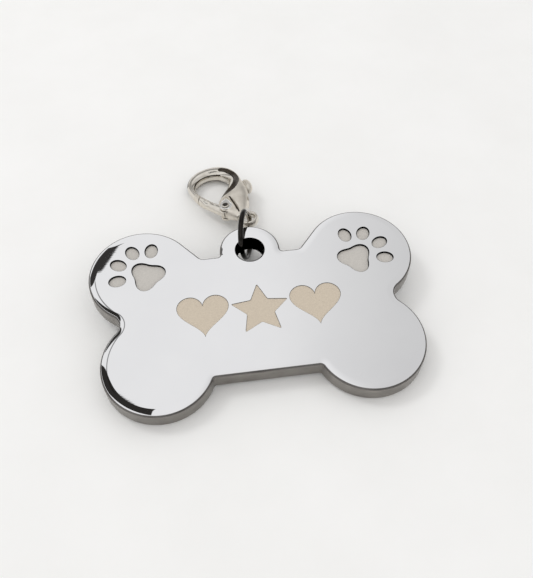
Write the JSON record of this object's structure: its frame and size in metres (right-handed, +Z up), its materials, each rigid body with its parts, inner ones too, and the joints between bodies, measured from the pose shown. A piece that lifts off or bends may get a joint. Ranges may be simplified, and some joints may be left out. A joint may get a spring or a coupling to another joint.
{
  "type": "pet collar pendant",
  "caption": "Bone-shaped polished metal pet tag with sunk paw prints, hung by a jump ring from a small lobster clasp whose sprung gate opens.",
  "frame": {"origin": "on the table plane that the laid-down pendant touches, under the middle of its bounding box", "axes": "+Z up from the table, +Y from the tag's lower edge towards the clasp, +X across the tag towards its right lobe as seen from above"},
  "size_m": [0.0478, 0.0476, 0.0079],
  "materials": {
    "polished_tag": "polished stainless steel face with a satin grey edge; sunk paw floors left matt",
    "ring_wire": "bright round wire that mirrors its dark surroundings",
    "clasp_nickel": "tumbled nickel plate, warm grey",
    "rivet_steel": "dull dark rivet heads",
    "spring_steel": "drawn spring wire"
  },
  "bodies": {
    "tag": {"tag_plate": "polished_tag"},
    "ring": {"jump_ring": "ring_wire"},
    "clasp": {"clasp_body": "clasp_nickel", "gate_rivet": "rivet_steel", "gate_spring": "spring_steel"},
    "gate": {"clasp_gate": "clasp_nickel"}
  },
  "joints": [
    {"name": "ring_swing", "type": "hinge", "parent": "tag", "child": "ring", "pos_m": [-0.00033, 0.00461, 0.00386], "axis": [0.9565, -0.2563, 0.1392], "range_deg": [-95, 110]},
    {"name": "clasp_turn", "type": "hinge", "parent": "ring", "child": "clasp", "pos_m": [0.00087, 0.00873, 0.00336], "axis": [-0.0874, 0.2032, 0.9752], "range_deg": [-90, 20]},
    {"name": "gate_open", "type": "hinge", "parent": "clasp", "child": "gate", "pos_m": [-0.00251, 0.01189, 0.00264], "axis": [0.0798, -0.1382, -0.9872], "range_deg": [0, 26], "stiffness_Nm_per_rad": 0.01, "springref_deg": -17.19, "deforming": ["gate_spring"]}
  ]
}
